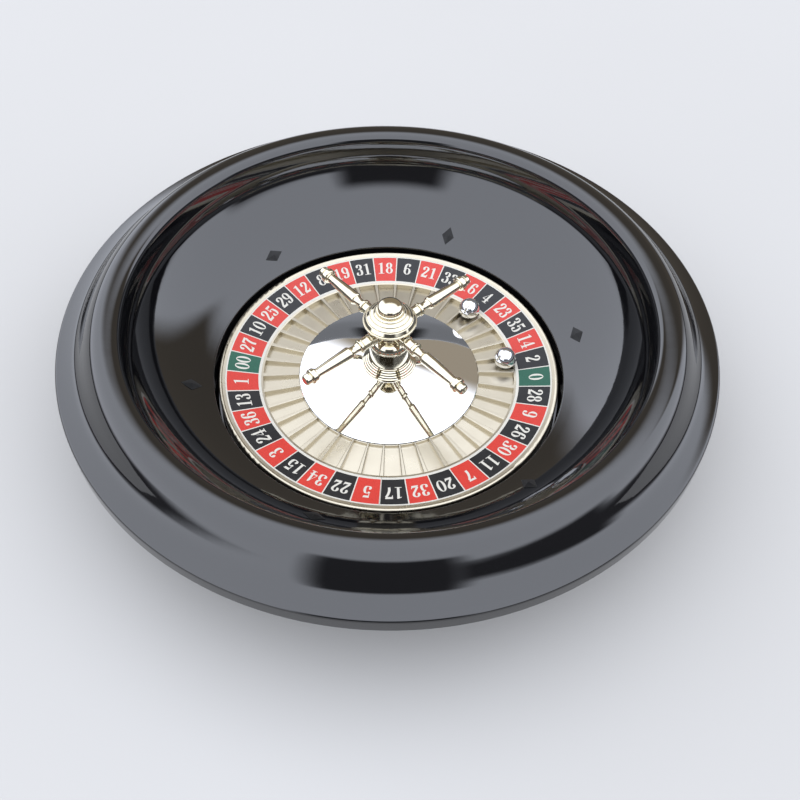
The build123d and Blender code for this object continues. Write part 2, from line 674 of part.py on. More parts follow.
def turned_handle(azimuth):
    """Handle turned from one bar: screwed root, ringed sleeve, waist, tapering grip, collar and tip."""
    plane = meridian(azimuth, HANDLE_Z)
    with BuildPart() as handle:
        with BuildSketch(plane):
            with BuildLine():
                FilletPolyline(
                    (5.0, 0),
                    (5.0, 1.5),
                    (HANDLE_ROOT, 1.5),
                    (HANDLE_ROOT, 3.2),
                    (12.4, 3.2),
                    (12.7, 2.7),
                    (13.2, 2.7),
                    (13.5, 3.0),
                    (17.2, 3.0),
                    (17.5, 2.7),
                    (17.9, 3.4),
                    (19.2, 3.4),
                    (19.5, 2.5),
                    radius=[0.2, 0.1, 0.3, 0.1, 0.1, 0.1, 0.15, 0.1, 0.1, 0.3, 0.4],
                )
                Bezier((19.5, 2.5), (21.0, 1.9), (23.0, 2.0), (24.2, 2.5))
                Bezier((24.2, 2.5), (24.5, 3.3), (25.4, 3.2), (26.4, 3.15))
                Bezier((26.4, 3.15), (32.0, 3.0), (38.0, 2.6), (GRIP_END, 2.3))
                FilletPolyline(
                    (GRIP_END, 2.3),
                    (GRIP_END + 0.2, 2.8),
                    (GRIP_END + 0.9, 2.8),
                    (GRIP_END + 1.0, 3.6),
                    (GRIP_END + 3.8, 3.6),
                    (GRIP_END + 3.9, 2.4),
                    (GRIP_END + 4.5, 2.4),
                    (GRIP_END + 4.6, 2.8),
                    (HANDLE_TIP, 2.5),
                    (HANDLE_TIP, 0),
                    radius=[0.1, 0.1, 0.7, 0.7, 0.1, 0.1, 0.2, 1.1],
                )
                Line((HANDLE_TIP, 0), (5.0, 0))
            make_face()
        revolve(axis=Axis(plane.origin, plane.x_dir))
    return handle


handle_back_right = turned_handle(HANDLE_FIRST)
handle_back_left = turned_handle(HANDLE_FIRST + 90)
handle_front_left = turned_handle(HANDLE_FIRST + 180)
handle_front_right = turned_handle(HANDLE_FIRST + 270)

# ---- balls in play ------------------------------------------------------------------
def ball_in_pocket(index):
    """Steel ball resting on the two dividers of its pocket."""
    share = (BALL_CIRCLE - CONE_RADIUS) / (POCKET_OUTER - CONE_RADIUS)
    divider_width = DIVIDER_INNER_WIDTH + (DIVIDER_OUTER_WIDTH - DIVIDER_INNER_WIDTH) * share
    half_gap = math.pi * BALL_CIRCLE / SECTORS - divider_width / 2
    lift = math.sqrt(BALL_RADIUS**2 - half_gap**2)
    angle = math.radians(pocket_azimuth(index))
    with BuildPart() as ball:
        with Locations((BALL_CIRCLE * math.cos(angle), BALL_CIRCLE * math.sin(angle), DIVIDER_TOP + lift + 0.2)):
            Sphere(BALL_RADIUS)
    return ball


ball_right = ball_in_pocket(BALL_POCKETS[0])
ball_back = ball_in_pocket(BALL_POCKETS[1])

# ---- hand over ----------------------------------------------------------------------
pieces = {
    "bowl_shell": bowl_shell,
    "diamond_inlays": diamond_inlays,
    "base_cover": base_cover,
    "base_cover_screws": base_cover_screws,
    "foot_pads": foot_pads,
    "spindle": spindle,
    "spindle_washer": spindle_washer,
    "spindle_nut": spindle_nut,
    "spindle_clip": spindle_clip,
    "bearing_inner_race": bearing_inner_race,
    "bearing_outer_race": bearing_outer_race,
    "bearing_balls": bearing_balls,
    "bearing_cage": bearing_cage,
    "rotor_hub": rotor_hub,
    "hub_snap_ring": hub_snap_ring,
    "hub_screws": hub_screws,
    "rotor_pan": rotor_pan,
    "mirror_cone": mirror_cone,
    "number_strip_right": number_strip_right,
    "number_strip_left": number_strip_left,
    "turret_bell": turret_bell,
    "turret_crown": turret_crown,
    "turret_stud": turret_stud,
    "finial_knob": finial_knob,
    "handle_back_right": handle_back_right,
    "handle_back_left": handle_back_left,
    "handle_front_left": handle_front_left,
    "handle_front_right": handle_front_right,
    "ball_right": ball_right,
    "ball_back": ball_back,
}

os.makedirs("parts", exist_ok=True)
for name, piece in pieces.items():
    piece.part.label = name
    export_step(piece.part, f"parts/{name}.step")
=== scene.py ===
"""Looks, light and camera for the roulette wheel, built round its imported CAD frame.

Metres, +Z up, the wheel's axis is Z and its feet stand on z = 0.  The camera looks from -Y.
"""

import json
import math

import bmesh
import bpy
from mathutils import Matrix, Vector


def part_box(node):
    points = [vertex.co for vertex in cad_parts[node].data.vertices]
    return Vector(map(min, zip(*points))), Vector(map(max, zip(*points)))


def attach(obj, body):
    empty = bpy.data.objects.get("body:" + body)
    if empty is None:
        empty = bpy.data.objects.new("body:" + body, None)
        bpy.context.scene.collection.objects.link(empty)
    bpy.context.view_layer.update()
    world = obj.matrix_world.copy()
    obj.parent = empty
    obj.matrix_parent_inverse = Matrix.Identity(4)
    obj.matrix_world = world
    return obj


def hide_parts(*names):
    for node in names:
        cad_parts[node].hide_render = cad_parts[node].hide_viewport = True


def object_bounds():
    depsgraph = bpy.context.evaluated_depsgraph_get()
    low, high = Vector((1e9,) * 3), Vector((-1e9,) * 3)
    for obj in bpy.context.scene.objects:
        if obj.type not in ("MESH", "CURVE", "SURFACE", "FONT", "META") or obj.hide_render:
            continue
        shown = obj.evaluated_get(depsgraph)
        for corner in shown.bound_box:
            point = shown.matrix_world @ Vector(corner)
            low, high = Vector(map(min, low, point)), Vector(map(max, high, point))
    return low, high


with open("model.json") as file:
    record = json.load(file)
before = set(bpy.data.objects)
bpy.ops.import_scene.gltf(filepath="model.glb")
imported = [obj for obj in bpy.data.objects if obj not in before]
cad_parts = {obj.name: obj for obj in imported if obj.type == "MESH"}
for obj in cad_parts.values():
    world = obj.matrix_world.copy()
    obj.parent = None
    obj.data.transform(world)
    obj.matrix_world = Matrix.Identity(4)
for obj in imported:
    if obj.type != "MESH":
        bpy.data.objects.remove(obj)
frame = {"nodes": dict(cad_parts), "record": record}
cad_low, cad_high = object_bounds()
nodes = frame["nodes"]

# ---- places worked out from the frame -----------------------------------------------
RIM_RADIUS = cad_high.x
FLOOR_SPREAD = 40                       # half the floor's width, in rim radii
STRIP_LOW, STRIP_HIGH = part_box("number_strip_right")
SECTORS = 38
SECTOR = 2 * math.pi / SECTORS


def radius_range(node):
    """Smallest and largest distance of a CAD node's points from the axis."""
    radii = [math.hypot(v.co.x, v.co.y) for v in nodes[node].data.vertices]
    return min(radii), max(radii)


STRIP_INNER, STRIP_OUTER = radius_range("number_strip_right")
STRIP_THICK = 0.00025                   # thickness of the printed sheet
STRIP_SLOPE = (STRIP_HIGH.z - STRIP_LOW.z - STRIP_THICK) / (STRIP_OUTER - STRIP_INNER)
FIRST_DIVIDER = math.radians(2.3)       # azimuth of the divider beside the single zero


def strip_top(radius):
    """Height of the printed face of the number strips."""
    return STRIP_LOW.z + STRIP_THICK + STRIP_SLOPE * (radius - STRIP_INNER)


# ---- material helpers ---------------------------------------------------------------
class Shader:
    """A Principled material with short-hand for the nodes that feed it."""

    def __init__(self, name, color, roughness=0.4, **sockets):
        self.material = bpy.data.materials.new(name)
        self.material.use_nodes = True
        self.tree = self.material.node_tree
        self.principled = self.tree.nodes["Principled BSDF"]
        self.principled.inputs["Base Color"].default_value = (*color, 1)
        self.principled.inputs["Roughness"].default_value = roughness
        for socket, value in sockets.items():
            self.principled.inputs[socket.replace("_", " ")].default_value = value
        self.place = self.add("ShaderNodeTexCoord").outputs["Object"]

    def add(self, kind, **settings):
        node = self.tree.nodes.new(kind)
        for key, value in settings.items():
            setattr(node, key, value)
        return node

    def link(self, source, target):
        self.tree.links.new(source, target)

    def stretch(self, source, scale):
        """source's vector with each axis scaled."""
        node = self.add("ShaderNodeMapping")
        node.inputs["Scale"].default_value = scale
        self.link(source, node.inputs["Vector"])
        return node.outputs["Vector"]

    def noise(self, size, detail=3.0, vector=None):
        """Noise from 0 to 1 with features about size metres across."""
        node = self.add("ShaderNodeTexNoise")
        node.inputs["Scale"].default_value = 1 / size
        node.inputs["Detail"].default_value = detail
        self.link(vector or self.place, node.inputs["Vector"])
        return node.outputs["Fac"]

    def polar(self):
        """(radius, azimuth, height) of the point as a vector, for marks that follow the turning."""
        parts = self.add("ShaderNodeSeparateXYZ")
        self.link(self.place, parts.inputs[0])
        squares = self.math("ADD", self.math("MULTIPLY", parts.outputs[0], parts.outputs[0]),
                            self.math("MULTIPLY", parts.outputs[1], parts.outputs[1]))
        radius = self.math("SQRT", squares)
        azimuth = self.math("ARCTAN2", parts.outputs[1], parts.outputs[0])
        joined = self.add("ShaderNodeCombineXYZ")
        self.link(radius, joined.inputs[0])
        self.link(azimuth, joined.inputs[1])
        self.link(parts.outputs[2], joined.inputs[2])
        return joined.outputs[0]

    def math(self, operation, first, second=None):
        node = self.add("ShaderNodeMath", operation=operation)
        for socket, value in zip(node.inputs, (first, second)):
            if value is None:
                continue
            if isinstance(value, (int, float)):
                socket.default_value = value
            else:
                self.link(value, socket)
        return node.outputs[0]

    def ramp(self, source, low, high, start=0.3, end=0.7):
        """source between start and end, turned into a value between low and high."""
        node = self.add("ShaderNodeMapRange")
        node.inputs["From Min"].default_value = start
        node.inputs["From Max"].default_value = end
        node.inputs["To Min"].default_value = low
        node.inputs["To Max"].default_value = high
        self.link(source, node.inputs["Value"])
        return node.outputs["Result"]

    def blend_colors(self, share, first, second):
        node = self.add("ShaderNodeMix", data_type="RGBA")
        self.link(share, node.inputs["Factor"])
        for socket, value in (("A", first), ("B", second)):
            target = [s for s in node.inputs if s.name == socket and s.type == "RGBA"][0]
            if isinstance(value, tuple):
                target.default_value = (*value, 1)
            else:
                self.link(value, target)
        return [s for s in node.outputs if s.type == "RGBA"][0]

    def color(self, source):
        self.link(source, self.principled.inputs["Base Color"])

    def roughness(self, source):
        self.link(source, self.principled.inputs["Roughness"])

    def bump(self, height, distance, strength=1.0):
        """Relief; several calls stack."""
        node = self.add("ShaderNodeBump")
        node.inputs["Distance"].default_value = distance
        node.inputs["Strength"].default_value = strength
        self.link(height, node.inputs["Height"])
        before = self.principled.inputs["Normal"].links
        if before:
            self.link(before[0].from_socket, node.inputs["Normal"])
        self.link(node.outputs["Normal"], self.principled.inputs["Normal"])


def shade(name, material):
    """Gives a CAD node its material."""
    data = nodes[name].data
    data.materials.clear()
    data.materials.append(material)


# ---- materials ----------------------------------------------------------------------
def gloss_plastic():
    """High-gloss black moulding: soft moulding waves, wiping haze, fine scratches and dust."""
    s = Shader("gloss_black_plastic", (0.003, 0.003, 0.0035), IOR=1.75)
    haze = s.noise(0.035, 4.0)
    wipes = s.noise(0.0012, 3.0, s.stretch(s.polar(), (1.0, 0.012, 1.0)))
    mixed = s.math("ADD", s.ramp(haze, 0.02, 0.05), s.ramp(wipes, 0.0, 0.03, 0.45, 0.8))
    s.roughness(mixed)
    dust = s.noise(0.0009, 2.0)
    s.color(s.blend_colors(s.ramp(dust, 0.0, 1.0, 0.72, 0.82), (0.003, 0.003, 0.0035), (0.02, 0.02, 0.02)))
    s.bump(s.noise(0.020, 2.0), 0.00012, 0.35)
    s.bump(s.noise(0.0016, 2.0), 0.000006, 0.5)
    return s.material


def matt_plastic(name, shade_value=0.03, gloss=0.5):
    """Finely grained matt black moulding."""
    s = Shader(name, (shade_value,) * 3, 0.55, Specular_IOR_Level=gloss)
    s.roughness(s.ramp(s.noise(0.004), 0.45, 0.65))
    s.color(s.blend_colors(s.noise(0.02), (shade_value * 0.8,) * 3, (shade_value * 1.3,) * 3))
    s.bump(s.noise(0.0004, 2.0), 0.00004)
    return s.material


def rubber():
    s = Shader("pad_rubber", (0.03, 0.03, 0.03), 0.8)
    s.color(s.blend_colors(s.noise(0.003), (0.022, 0.022, 0.022), (0.045, 0.044, 0.042)))
    s.roughness(s.ramp(s.noise(0.001), 0.7, 0.9))
    s.bump(s.noise(0.0003, 2.0), 0.00006)
    return s.material


def steel(name, color, low, high, grain):
    """Machined steel with turning marks round the axis."""
    s = Shader(name, color, 0.3, Metallic=1.0)
    marks = s.noise(grain, 3.0, s.stretch(s.polar(), (1.0, 0.01, 1.0)))
    s.roughness(s.ramp(marks, low, high))
    s.color(s.blend_colors(s.noise(0.006), color, tuple(c * 0.85 for c in color)))
    s.bump(marks, grain * 0.05, 0.3)
    return s.material


def plated_gold(name, color, low, high, ripple):
    """Pale champagne plating over a pressed or turned part."""
    s = Shader(name, color, 0.15, Metallic=1.0)
    cloud = s.noise(0.012, 4.0)
    s.roughness(s.ramp(cloud, low, high))
    s.color(s.blend_colors(s.noise(0.025, 3.0), color, tuple(c * 0.93 for c in color)))
    s.bump(s.noise(0.006, 2.0), ripple)
    s.bump(s.noise(0.0006, 2.0), ripple * 0.04)
    return s.material


def mirror():
    """Polished plate with faint spinning rings and a slow ripple."""
    s = Shader("mirror_plate", (0.90, 0.90, 0.89), 0.03, Metallic=1.0)
    rings = s.noise(0.0011, 2.0, s.stretch(s.polar(), (1.0, 0.002, 0.0)))
    s.roughness(s.ramp(s.noise(0.010, 4.0), 0.015, 0.05))
    s.color(s.blend_colors(s.noise(0.03), (0.92, 0.92, 0.91), (0.87, 0.87, 0.86)))
    s.bump(rings, 0.0000015, 0.5)
    s.bump(s.noise(0.015, 1.0), 0.00004, 0.5)
    return s.material


def chrome():
    s = Shader("polished_steel", (0.80, 0.80, 0.81), 0.03, Metallic=1.0)
    s.roughness(s.ramp(s.noise(0.002, 4.0), 0.015, 0.07))
    s.color(s.blend_colors(s.noise(0.004), (0.82, 0.82, 0.83), (0.74, 0.74, 0.75)))
    s.bump(s.noise(0.0008, 2.0), 0.000002)
    return s.material


def ink(name, color, variation=0.12):
    """Satin printed ink over paper: screen mottle and paper tooth."""
    s = Shader(name, color, 0.35, IOR=1.45)
    lighter = tuple(min(1.0, c * (1 + variation) + 0.004) for c in color)
    darker = tuple(c * (1 - variation) for c in color)
    s.color(s.blend_colors(s.ramp(s.noise(0.0005, 3.0), 0, 1), darker, lighter))
    s.roughness(s.ramp(s.noise(0.0015, 3.0), 0.28, 0.42))
    s.bump(s.noise(0.0004, 3.0), 0.000012)
    return s.material


PLATE = plated_gold("champagne_plate_pan", (0.54, 0.49, 0.385), 0.26, 0.34, 0.00002)
TURRET = plated_gold("champagne_plate_turret", (0.70, 0.64, 0.49), 0.04, 0.08, 0.000012)
BOWL = gloss_plastic()
MIRROR = mirror()
BALL = chrome()
STEEL = steel("zinc_steel", (0.62, 0.62, 0.60), 0.25, 0.42, 0.0006)
BEARING = steel("bearing_steel", (0.72, 0.72, 0.72), 0.08, 0.16, 0.0004)
ALUMINIUM = steel("turned_aluminium", (0.77, 0.77, 0.78), 0.2, 0.35, 0.0005)
BRASS = steel("pressed_brass", (0.80, 0.60, 0.30), 0.2, 0.35, 0.0005)

slot_materials = {
    "bowl": BOWL,
    "diamond": matt_plastic("matt_black_inlay", 0.008, 0.35),
    "cover": matt_plastic("matt_black_cover", 0.03),
    "pad": rubber(),
    "steel": STEEL,
    "bearing": BEARING,
    "cage": BRASS,
    "hub": ALUMINIUM,
    "plated": PLATE,
    "mirror": MIRROR,
    "turret": TURRET,
    "ball": BALL,
}
for part in frame["record"]["subparts"]:
    if part["material_slot"] in slot_materials:
        shade(part["node"], slot_materials[part["material_slot"]])

# ---- bowl ---------------------------------------------------------------------------
TURN_STEPS = 512                        # how finely the bowl's gloss surface is turned
SHARP_TURN = math.radians(28)           # a corner of the outline beyond this stays sharp
SCREW_BOSSES = (0.066, 0.074, 0.0100)   # hidden screw bosses: inner and outer radius, height


def bowl_outline():
    """(radius, height) round the bowl's section, read off the CAD mesh's own seam at azimuth 0."""
    data = nodes["bowl_shell"].data
    on_seam = {
        v.index: (round(v.co.x, 7), round(v.co.z, 7))
        for v in data.vertices if abs(v.co.y) < 2e-6 and v.co.x > 0
    }
    beside = {}
    for edge in data.edges:
        first, second = (on_seam.get(index) for index in edge.vertices)
        if first and second and first != second:
            beside.setdefault(first, []).append(second)
            beside.setdefault(second, []).append(first)
    boss_inner, boss_outer, boss_top = SCREW_BOSSES
    start = max(beside)
    outline = [start]
    ahead = [max(beside[start], key=lambda point: point[1])]
    while ahead:
        outline.append(ahead[0])
        ahead = [point for point in beside[outline[-1]] if point not in outline]
    behind = [point for point in beside[start] if point not in outline]
    while behind:
        outline.insert(0, behind[0])
        behind = [point for point in beside[outline[0]] if point not in outline]
    return [p for p in outline if not (boss_inner < p[0] < boss_outer and p[1] < boss_top)]


def turned_bowl():
    """The bowl turned finely from its own outline, so its gloss shows no facets."""
    outline = bowl_outline()
    count = len(outline)
    mesh = bmesh.new()
    rings = []
    for step in range(TURN_STEPS):
        angle = math.tau * step / TURN_STEPS
        across, along = math.cos(angle), math.sin(angle)
        rings.append([mesh.verts.new((r * across, r * along, z)) for r, z in outline])
    for step in range(TURN_STEPS):
        here, there = rings[step - 1], rings[step]
        for index in range(count):
            mesh.faces.new((here[index - 1], there[index - 1], there[index], here[index])).smooth = True
    for index in range(count):
        before = Vector(outline[index]) - Vector(outline[index - 1])
        after = Vector(outline[(index + 1) % count]) - Vector(outline[index])
        if before.angle(after) > SHARP_TURN:
            for step in range(TURN_STEPS):
                mesh.edges.get((rings[step - 1][index], rings[step][index])).smooth = False
    bmesh.ops.recalc_face_normals(mesh, faces=mesh.faces)
    data = bpy.data.meshes.new("bowl_turned")
    mesh.to_mesh(data)
    mesh.free()
    data.materials.append(BOWL)
    piece = bpy.data.objects.new("bowl_turned", data)
    bpy.context.scene.collection.objects.link(piece)
    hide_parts("bowl_shell")
    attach(piece, "bowl")


turned_bowl()

# ---- printed number strips ----------------------------------------------------------
ORDER = (
    "0 28 9 26 30 11 7 20 32 17 5 22 34 15 3 24 36 13 1 "
    "00 27 10 25 29 12 8 19 31 18 6 21 33 16 4 23 35 14 2"
).split()                               # clockwise from above, from the single zero
INK = {
    "paper": ink("print_white", (0.57, 0.545, 0.475), 0.04),
    "red": ink("print_red", (0.52, 0.034, 0.022)),
    "black": ink("print_black", (0.007, 0.007, 0.008)),
    "green": ink("print_green", (0.010, 0.085, 0.050)),
}
MARGIN_INNER = 0.00134                  # white margins inside and outside the coloured cells
MARGIN_OUTER = 0.00073
LINE_WIDTH = 0.0006                     # white line between two cells
STRIP_GAP = math.radians(0.1)           # open joint between the two half rings
CELL_STEPS = 8                          # how finely a cell follows the circle


def cell_color(index):
    if ORDER[index] in ("0", "00"):
        return "green"
    return "black" if index % 2 else "red"


def cell_middle(index):
    """Azimuth of the middle of a numbered cell."""
    return FIRST_DIVIDER - (index + 0.5) * SECTOR


def number_strip(name, node, first_index):
    """Half of the ring: 19 cells from first_index on, a sheet with its printed top, edges and back."""
    mesh = bmesh.new()
    inks = list(INK)
    cell_inner = STRIP_INNER + MARGIN_INNER
    cell_outer = STRIP_OUTER - MARGIN_OUTER
    half_line = LINE_WIDTH / 2 / cell_outer
    columns = []                        # (azimuth, colour of the band that starts here)
    for step in range(SECTORS // 2):
        index = (first_index + step) % SECTORS
        start = cell_middle(index) + SECTOR / 2
        columns.append((start, "paper"))
        for part in range(CELL_STEPS):
            turn = half_line + (SECTOR - 2 * half_line) * part / CELL_STEPS
            columns.append((start - turn, cell_color(index)))
        columns.append((start - SECTOR + half_line, "paper"))
    end = cell_middle((first_index + SECTORS // 2 - 1) % SECTORS) - SECTOR / 2
    clearance = STRIP_GAP / 2
    azimuths = [a for a, _ in columns] + [end]
    azimuths[0] -= clearance
    azimuths[-1] = azimuths[0] - math.pi + 2 * clearance
    if azimuths[-1] > azimuths[-2]:
        azimuths[-1] -= 2 * math.pi
    radii = (STRIP_INNER, cell_inner, cell_outer, STRIP_OUTER)
    top, bottom = [], []
    for azimuth in azimuths:
        ray = Vector((math.cos(azimuth), math.sin(azimuth), 0))
        top.append([mesh.verts.new(ray * r + Vector((0, 0, strip_top(r)))) for r in radii])
        bottom.append([mesh.verts.new(ray * r + Vector((0, 0, strip_top(r) - STRIP_THICK))) for r in radii])
    for column, (_, color) in enumerate(columns):
        for row in range(3):
            face = mesh.faces.new((
                top[column][row], top[column][row + 1], top[column + 1][row + 1], top[column + 1][row],
            ))
            face.material_index = inks.index(color if row == 1 else "paper")
            mesh.faces.new((
                bottom[column][row],
                bottom[column + 1][row],
                bottom[column + 1][row + 1],
                bottom[column][row + 1],
            ))
        for row in (0, 3):
            mesh.faces.new((
                top[column][row], top[column + 1][row], bottom[column + 1][row], bottom[column][row],
            ))
    for column in (0, -1):
        for row in range(3):
            mesh.faces.new((
                top[column][row], bottom[column][row], bottom[column][row + 1], top[column][row + 1],
            ))
    bmesh.ops.recalc_face_normals(mesh, faces=mesh.faces)
    data = bpy.data.meshes.new(name)
    mesh.to_mesh(data)
    mesh.free()
    for material in INK.values():
        data.materials.append(material)
    piece = bpy.data.objects.new(name, data)
    bpy.context.scene.collection.objects.link(piece)
    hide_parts(node)
    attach(piece, "rotor")


SEAM = 10                               # the strips meet before cell 10 and before cell 29
number_strip("printed_strip_left", "number_strip_left", SEAM)
number_strip("printed_strip_right", "number_strip_right", SEAM + SECTORS // 2)

# ---- figures ------------------------------------------------------------------------
# Upright figures with strong contrast of thick and thin, drawn in a box 1 high and 0.56 wide.
# A stroke is a run of points joined by a smooth curve; it is thick where it runs up or down.
FIGURE_HEIGHT = 0.0071
FIGURE_WIDTH = 0.56                     # of one figure, as a share of its height
FIGURE_ADVANCE = 0.60                   # from one figure to the next, as a share of the height
FIGURE_MIDDLE = 0.0729                  # radius at half the figures' height
INK_LIFT = 0.00002                      # the white ink stands this proud of the cell
THICK, THIN = 0.165, 0.055
ROUND_END = 0.075                       # radius of the round ends
RING_STEPS = 32                         # how finely rings and round ends are drawn
ROUND_END_STEPS = 16

FIGURES = {
    "0": {"rings": [(0.28, 0.5, 0.20, 0.473)]},
    "1": {"plates": [
        [(0.20, 0.02), (0.365, 0.02), (0.365, 1.0), (0.30, 1.0), (0.07, 0.88), (0.07, 0.84), (0.20, 0.86)],
        [(0.06, 0.0), (0.50, 0.0), (0.50, 0.05), (0.06, 0.05)],
    ]},
    "2": {
        "strokes": [[
            (0.13, 0.70), (0.13, 0.86), (0.28, 0.97), (0.43, 0.86), (0.43, 0.68), (0.28, 0.42), (0.09, 0.13),
        ]],
        "plates": [[
            (0.04, 0.0), (0.46, 0.0), (0.52, 0.27), (0.49, 0.27), (0.42, 0.17), (0.12, 0.17), (0.04, 0.06),
        ]],
        "balls": [(0.13, 0.72)],
    },
    "3": {
        "strokes": [
            [(0.12, 0.77), (0.14, 0.91), (0.27, 0.97), (0.40, 0.88), (0.40, 0.66), (0.22, 0.535)],
            [
                (0.22, 0.535), (0.38, 0.49), (0.44, 0.28), (0.40, 0.09), (0.26, 0.027), (0.12, 0.08),
                (0.10, 0.22),
            ],
        ],
        "balls": [(0.13, 0.78), (0.12, 0.22)],
    },
    "4": {"plates": [
        [(0.28, 0.02), (0.43, 0.02), (0.43, 1.0), (0.36, 1.0), (0.28, 0.88)],
        [(0.36, 1.0), (0.33, 0.92), (0.07, 0.33), (0.02, 0.33)],
        [(0.02, 0.26), (0.54, 0.26), (0.54, 0.33), (0.02, 0.33)],
        [(0.17, 0.0), (0.53, 0.0), (0.53, 0.05), (0.17, 0.05)],
    ]},
    "5": {
        "strokes": [[(0.11, 0.50), (0.22, 0.61), (0.38, 0.58), (0.44, 0.31), (0.38, 0.08), (0.24, 0.027),
                     (0.11, 0.08), (0.10, 0.22)]],
        "plates": [
            [(0.10, 0.48), (0.145, 0.52), (0.155, 0.90), (0.10, 0.98)],
            [(0.10, 1.0), (0.12, 0.82), (0.44, 0.84), (0.50, 1.0)],
        ],
        "balls": [(0.12, 0.22)],
    },
    "6": {
        "strokes": [[(0.44, 0.80), (0.42, 0.93), (0.30, 0.973), (0.17, 0.86), (0.115, 0.60), (0.12, 0.45)]],
        "rings": [(0.28, 0.30, 0.185, 0.273)],
        "balls": [(0.43, 0.80)],
    },
    "7": {
        "strokes": [[(0.48, 0.86), (0.33, 0.58), (0.25, 0.28), (0.26, 0.02)]],
        "plates": [[
            (0.04, 1.0), (0.04, 0.70), (0.07, 0.70), (0.12, 0.84), (0.46, 0.84), (0.53, 0.93), (0.53, 1.0),
        ]],
    },
    "8": {"rings": [(0.28, 0.745, 0.155, 0.228), (0.28, 0.27, 0.185, 0.243)]},
    "9": {
        "strokes": [[(0.12, 0.20), (0.14, 0.07), (0.26, 0.027), (0.39, 0.14), (0.445, 0.40), (0.44, 0.55)]],
        "rings": [(0.28, 0.70, 0.185, 0.273)],
        "balls": [(0.13, 0.20)],
    },
}


def smooth_run(points, steps=6):
    """Catmull-Rom curve through the points."""
    found = []
    padded = [points[0], *points, points[-1]]
    for a, b, c, d in zip(padded, padded[1:], padded[2:], padded[3:]):
        for step in range(steps):
            t = step / steps
            found.append(tuple(
                0.5 * (
                    2 * q + (r - p) * t + (2 * p - 5 * q + 4 * r - s) * t * t
                    + (3 * q - p - 3 * r + s) * t ** 3
                )
                for p, q, r, s in zip(a, b, c, d)
            ))
    found.append(points[-1])
    return found


def stroke_edges(run):
    """Points to the left and right of a stroke, which is thick where it runs up or down."""
    left, right = [], []
    for index, (x, y) in enumerate(run):
        before, after = run[max(index - 1, 0)], run[min(index + 1, len(run) - 1)]
        dx, dy = after[0] - before[0], after[1] - before[1]
        length = math.hypot(dx, dy)
        half = (THIN + (THICK - THIN) * abs(dy / length) ** 1.5) / 2
        left.append((x - dy / length * half, y + dx / length * half))
        right.append((x + dy / length * half, y - dx / length * half))
    return left, right


def figure_faces(figure):
    """Polygons that make up one figure."""
    shape = FIGURES[figure]
    faces = list(shape.get("plates", []))
    for points in shape.get("strokes", []):
        left, right = stroke_edges(smooth_run(points))
        faces += [[left[i], left[i + 1], right[i + 1], right[i]] for i in range(len(left) - 1)]
    for x, y, rx, ry in shape.get("rings", []):
        turns = [math.tau * i / RING_STEPS for i in range(RING_STEPS + 1)]
        outer = [(x + (rx + THICK / 2) * math.cos(t), y + (ry + THIN / 2) * math.sin(t)) for t in turns]
        inner = [(x + (rx - THICK / 2) * math.cos(t), y + (ry - THIN / 2) * math.sin(t)) for t in turns]
        faces += [[outer[i], outer[i + 1], inner[i + 1], inner[i]] for i in range(RING_STEPS)]
    for x, y in shape.get("balls", []):
        turns = [math.tau * i / ROUND_END_STEPS for i in range(ROUND_END_STEPS)]
        faces.append([(x + ROUND_END * math.cos(t), y + ROUND_END * math.sin(t)) for t in turns])
    return faces


def printed_figures():
    """All the numbers, in white ink lying on the cells, tops outward."""
    mesh = bmesh.new()
    for index, number in enumerate(ORDER):
        azimuth = cell_middle(index)
        outward = Vector((math.cos(azimuth), math.sin(azimuth), 0))
        across = Vector((math.sin(azimuth), -math.cos(azimuth), 0))
        width = FIGURE_ADVANCE * (len(number) - 1) + FIGURE_WIDTH
        for place, figure in enumerate(number):
            for face in figure_faces(figure):
                corners = []
                for x, y in face:
                    flat = (
                        outward * (FIGURE_MIDDLE + (y - 0.5) * FIGURE_HEIGHT)
                        + across * (x + place * FIGURE_ADVANCE - width / 2) * FIGURE_HEIGHT
                    )
                    flat.z = strip_top(flat.length) + INK_LIFT
                    corners.append(mesh.verts.new(flat))
                mesh.faces.new(corners)
    bmesh.ops.remove_doubles(mesh, verts=mesh.verts, dist=1e-7)
    for face in mesh.faces:
        if face.normal.z < 0:
            face.normal_flip()
    data = bpy.data.meshes.new("printed_figures")
    mesh.to_mesh(data)
    mesh.free()
    data.materials.append(INK["paper"])
    piece = bpy.data.objects.new("printed_figures", data)
    bpy.context.scene.collection.objects.link(piece)
    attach(piece, "rotor")


printed_figures()

# ---- floor, light and camera --------------------------------------------------------
def floor():
    size = RIM_RADIUS * FLOOR_SPREAD
    data = bpy.data.meshes.new("floor")
    corners = [(-size, -size, 0), (size, -size, 0), (size, size, 0), (-size, size, 0)]
    data.from_pydata(corners, [], [(0, 1, 2, 3)])
    piece = bpy.data.objects.new("floor", data)
    bpy.context.scene.collection.objects.link(piece)
    s = Shader("floor_paper", (0.46, 0.45, 0.43), 0.8, Specular_IOR_Level=0.1)
    s.color(s.blend_colors(s.noise(0.3), (0.46, 0.45, 0.43), (0.44, 0.43, 0.41)))
    data.materials.append(s.material)


